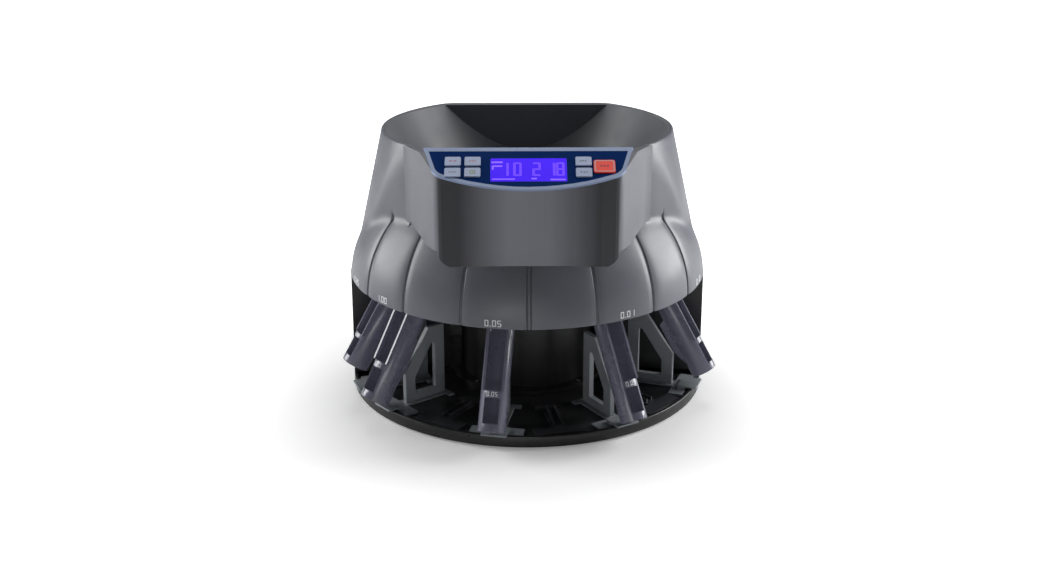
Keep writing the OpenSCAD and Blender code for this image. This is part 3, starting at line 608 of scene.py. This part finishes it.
def draw_glyph(spot, strokes):
    def draw(points, faces):
        for x, y, w, d in strokes:
            block(points, faces, on_key, (w, d, spot[0] + x, spot[1] + y), INK)
    return draw


for i, (ink, strokes) in KEY_GLYPHS.items():
    printing(f"key_{i}_mark", ink, f"key_{i}", draw_glyph(KEY_SPOTS[i - 1], strokes))


def draw_start_ring(points, faces):
    """A rounded outline just inside the start key's edge."""
    outer, inner, corner, count, rise = (9.0, 7.75), (7.7, 6.45), 2.3, 48, 0.07
    for k in range(count):
        a = math.tau * k / count
        for half, h in ((outer, -SUNK), (outer, rise), (inner, rise), (inner, -SUNK)):
            c = corner if half is outer else corner - 0.9
            x = (half[0] - c) * (1 if math.cos(a) > 0 else -1) + c * math.cos(a)
            y = (half[1] - c) * (1 if math.sin(a) > 0 else -1) + c * math.sin(a)
            points.append(on_panel(START_SPOT[0] + x, START_SPOT[1] + y, KEY_TOP + h))
    for k in range(count):
        a, b = k * 4, (k + 1) % count * 4
        for r in range(4):
            s = (r + 1) % 4
            faces.append([a + r, b + r, b + s, a + s])


printing("start_key_ring", "ink_pink", "start_key", draw_start_ring)
printing("start_key_mark", "ink_maroon", "start_key", draw_glyph(START_SPOT, START_GLYPH))

# ---------------------------------------------------------------- numerals
# Each tube's station, radius, length and number
TUBES = [(-70, 13.5, 80, "0.25"), (-51, 14.2, 95, "1.00"), (-10.5, 12.8, 98, "0.05"),
         (31, 12.6, 98, "0.01"), (70, 12.4, 89, "0.10")]
TUBE_TOP_R, TUBE_TOP_Z, TUBE_LEAN = 139.0, 107.0, 30.0
SKIRT_NUMBER_R, SKIRT_NUMBER_Z = 170.0, 123.0


def on_skirt(station):
    """Places a print on the skirt's edge above a station."""
    def place(x, y, h):
        angle = station + math.degrees(x / SKIRT_NUMBER_R)
        z = SKIRT_NUMBER_Z + y
        return at_axis(housing_radius(angle, z) - SUNK + h, angle, z)
    return place


def on_tube(station, radius, along):
    """Places a print round a tube's front, some way along it."""
    lean, turn = math.radians(TUBE_LEAN), math.radians(station)

    def place(x, y, h):
        a, reach = x / radius, radius - SUNK + h
        px, py, pz = reach * math.cos(a), reach * math.sin(a), along + y
        out = TUBE_TOP_R + px * math.cos(lean) - pz * math.sin(lean)
        up = TUBE_TOP_Z + px * math.sin(lean) + pz * math.cos(lean)
        return Vector(((out * math.sin(turn) + py * math.cos(turn)) * MM,
                       AXIS_Y + (-out * math.cos(turn) + py * math.sin(turn)) * MM, up * MM))
    return place


for i, (station, radius, length, text) in enumerate(TUBES, 1):
    band = -0.69 * length + 3.5
    printing(f"skirt_number_{i}", "ink_white", "housing",
             lambda p, f: digits(text, on_skirt(station), 5.2, 0.95, 0.1, p, f))
    printing(f"tube_number_{i}", "ink_white", f"coin_tube_{i}",
             lambda p, f: digits(text, on_tube(station, radius, band), 3.6, 0.65, 0.1, p, f))

# ---------------------------------------------------------------- stage


def floor_white():
    """Pale floor that glows to the camera, less near the object: painted shade round the object,
    fading to plain white away from it.
    """
    g = Graph("floor_white")
    spread = g.add("ShaderNodeVectorMath", {0: g.coords()}, operation="LENGTH").outputs["Value"]
    # Painted shade: the floor's glow is weakest close to the object and rises to plain white
    # further out
    glow = g.math("MULTIPLY", g.remap(spread, 0.17, 0.48, 0.22, 1.0),
                  g.add("ShaderNodeLightPath").outputs["Is Camera Ray"])
    shade = g.remap(g.noise(1.5, 2.0), 0.3, 0.7)
    return g.surface(
        Base_Color=g.mix(shade, (0.9, 0.9, 0.9, 1), (0.93, 0.93, 0.93, 1)), Roughness=0.7,
        Specular_IOR_Level=0.1, Emission_Color=(1, 1, 1, 1), Emission_Strength=glow)


floor_mesh = bpy.data.meshes.new("floor")
bm = bmesh.new()
bmesh.ops.create_grid(bm, x_segments=8, y_segments=8, size=6.0)
bm.to_mesh(floor_mesh)
bm.free()
floor_mesh.materials.append(floor_white())
floor = bpy.data.objects.new("floor", floor_mesh)
scene.collection.objects.link(floor)


def area_light(name, place, aim, size, power):
    """A soft box at a place, turned towards aim."""
    light = bpy.data.lights.new(name, "AREA")
    light.shape = "RECTANGLE"
    light.size, light.size_y = size
    light.energy = power
    holder = bpy.data.objects.new(name, light)
    scene.collection.objects.link(holder)
    holder.location = place
    holder.rotation_euler = (Vector(aim) - Vector(place)).to_track_quat("-Z", "Y").to_euler()


area_light("left_box", (-1.45, 0.30, 0.60), (0, 0, 0.15), (0.8, 1.1), 19)
area_light("right_box", (1.45, 0.30, 0.60), (0, 0, 0.15), (0.8, 1.1), 26)
area_light("top_box", (0, 0.9, 1.5), (0, 0, 0.2), (1.2, 0.8), 10)
area_light("front_fill", (-0.25, -1.6, 0.10), (0, 0, 0.12), (0.8, 0.3), 2.4)

world = bpy.data.worlds.new("studio")
scene.world = world
world.use_nodes = True
backdrop = world.node_tree.nodes["Background"]
backdrop.inputs["Color"].default_value = (1, 1, 1, 1)
seen = world.node_tree.nodes.new("ShaderNodeLightPath").outputs["Is Camera Ray"]
level = world.node_tree.nodes.new("ShaderNodeMapRange")
level.inputs["To Min"].default_value = 0.06
level.inputs["To Max"].default_value = 1.0
world.node_tree.links.new(seen, level.inputs["Value"])
world.node_tree.links.new(level.outputs["Result"], backdrop.inputs["Strength"])
scene.view_settings.view_transform = "Standard"

camera_data = bpy.data.cameras.new("camera")
camera_data.lens = 52.13
camera_data.sensor_width = 36
camera_data.shift_x = -0.0011
CAMERA_DIP = 0.353
camera = bpy.data.objects.new("camera", camera_data)
scene.collection.objects.link(camera)
camera.location = (-0.0142, -1.4109, 0.623)
yaw = math.atan2(camera.location.x, AXIS_Y - camera.location.y)
camera.rotation_euler = Euler((math.pi / 2 - CAMERA_DIP, 0, yaw))
scene.camera = camera
